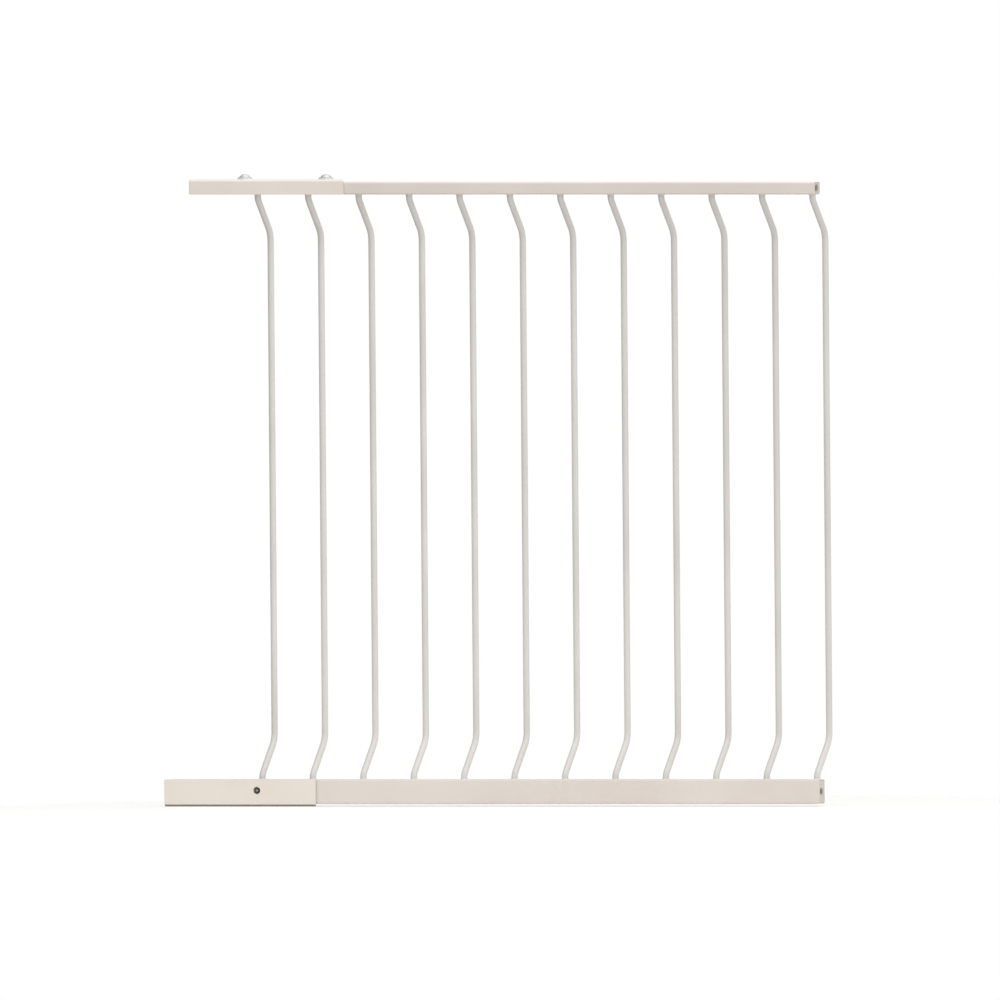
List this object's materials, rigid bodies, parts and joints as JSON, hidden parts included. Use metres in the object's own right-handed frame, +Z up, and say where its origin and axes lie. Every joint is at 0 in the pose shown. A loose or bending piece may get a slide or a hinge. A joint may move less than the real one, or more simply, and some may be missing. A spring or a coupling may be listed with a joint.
{
  "type": "pet gate extension panel",
  "caption": "Wide fixed panel that extends a pressure-mounted pet gate: bowed steel bars welded between two rails, bolted channel joiners at one end, spindle plugs at the other.",
  "frame": {"origin": "middle of the panel's bounding box, at its base, which is the floor under the bottom joiner", "axes": "+X along the panel from the joiners to the wall end, +Y towards the side that the bars bow to, +Z up"},
  "size_m": [1.0244, 0.06, 0.8978],
  "materials": {
    "rail_powder_coat": "satin powder coat",
    "joiner_powder_coat": "satin powder coat, warmer ivory",
    "bolt_zinc": "bright zinc plate over a domed steel head",
    "washer_nylon": "moulded, smooth",
    "plug_nylon": "moulded, fine texture",
    "nut_zinc": "bright zinc plate",
    "washer_zinc": "bright zinc plate",
    "screw_black": "black oxide"
  },
  "bodies": {
    "panel": {"top_rail": "rail_powder_coat", "bottom_rail": "rail_powder_coat", "bar_01": "rail_powder_coat", "bar_02": "rail_powder_coat", "bar_03": "rail_powder_coat", "bar_04": "rail_powder_coat", "bar_05": "rail_powder_coat", "bar_06": "rail_powder_coat", "bar_07": "rail_powder_coat", "bar_08": "rail_powder_coat", "bar_09": "rail_powder_coat", "bar_10": "rail_powder_coat", "bar_11": "rail_powder_coat", "bar_12": "rail_powder_coat", "top_weld_beads": "rail_powder_coat", "bottom_weld_beads": "rail_powder_coat", "top_joiner": "joiner_powder_coat", "bottom_joiner": "joiner_powder_coat", "top_wall_plug": "plug_nylon", "bottom_wall_plug": "plug_nylon", "top_closing_plug": "plug_nylon", "bottom_closing_plug": "plug_nylon", "bolt_rivet_nut_1": "nut_zinc", "bolt_rivet_nut_2": "nut_zinc", "screw_rivet_nut": "nut_zinc"},
    "top_bolt_1_washer": {"bolt_washer_1": "washer_nylon"},
    "top_bolt_1": {"joiner_bolt_1": "bolt_zinc"},
    "top_bolt_2_washer": {"bolt_washer_2": "washer_nylon"},
    "top_bolt_2": {"joiner_bolt_2": "bolt_zinc"},
    "front_screw_washer": {"lock_washer": "washer_zinc"},
    "front_screw": {"locking_screw": "screw_black"}
  },
  "joints": [
    {"name": "top_bolt_1_lift", "type": "slide", "parent": "panel", "child": "top_bolt_1_washer", "axis": [0, 0, 1], "range_m": [0, 0.01]},
    {"name": "top_bolt_1_turn", "type": "hinge", "parent": "top_bolt_1_washer", "child": "top_bolt_1", "pos_m": [-0.3836, -0.0165, 0.8921], "axis": [0, 0, 1], "range_deg": [0, 2881]},
    {"name": "top_bolt_2_lift", "type": "slide", "parent": "panel", "child": "top_bolt_2_washer", "axis": [0, 0, 1], "range_m": [0, 0.01]},
    {"name": "top_bolt_2_turn", "type": "hinge", "parent": "top_bolt_2_washer", "child": "top_bolt_2", "pos_m": [-0.2566, -0.0165, 0.8921], "axis": [0, 0, 1], "range_deg": [0, 2881]},
    {"name": "front_screw_lift", "type": "slide", "parent": "panel", "child": "front_screw_washer", "axis": [0, -1, 0], "range_m": [0, 0.0064]},
    {"name": "front_screw_turn", "type": "hinge", "parent": "front_screw_washer", "child": "front_screw", "pos_m": [-0.3669, -0.0276, 0.0226], "axis": [0, -1, 0], "range_deg": [0, 2881]}
  ],
  "couplings": [
    {"joint": "top_bolt_1_turn", "follows": "top_bolt_1_lift", "rad_per_m": 5026.5},
    {"joint": "top_bolt_2_turn", "follows": "top_bolt_2_lift", "rad_per_m": 5026.5},
    {"joint": "front_screw_turn", "follows": "front_screw_lift", "rad_per_m": 7854}
  ]
}
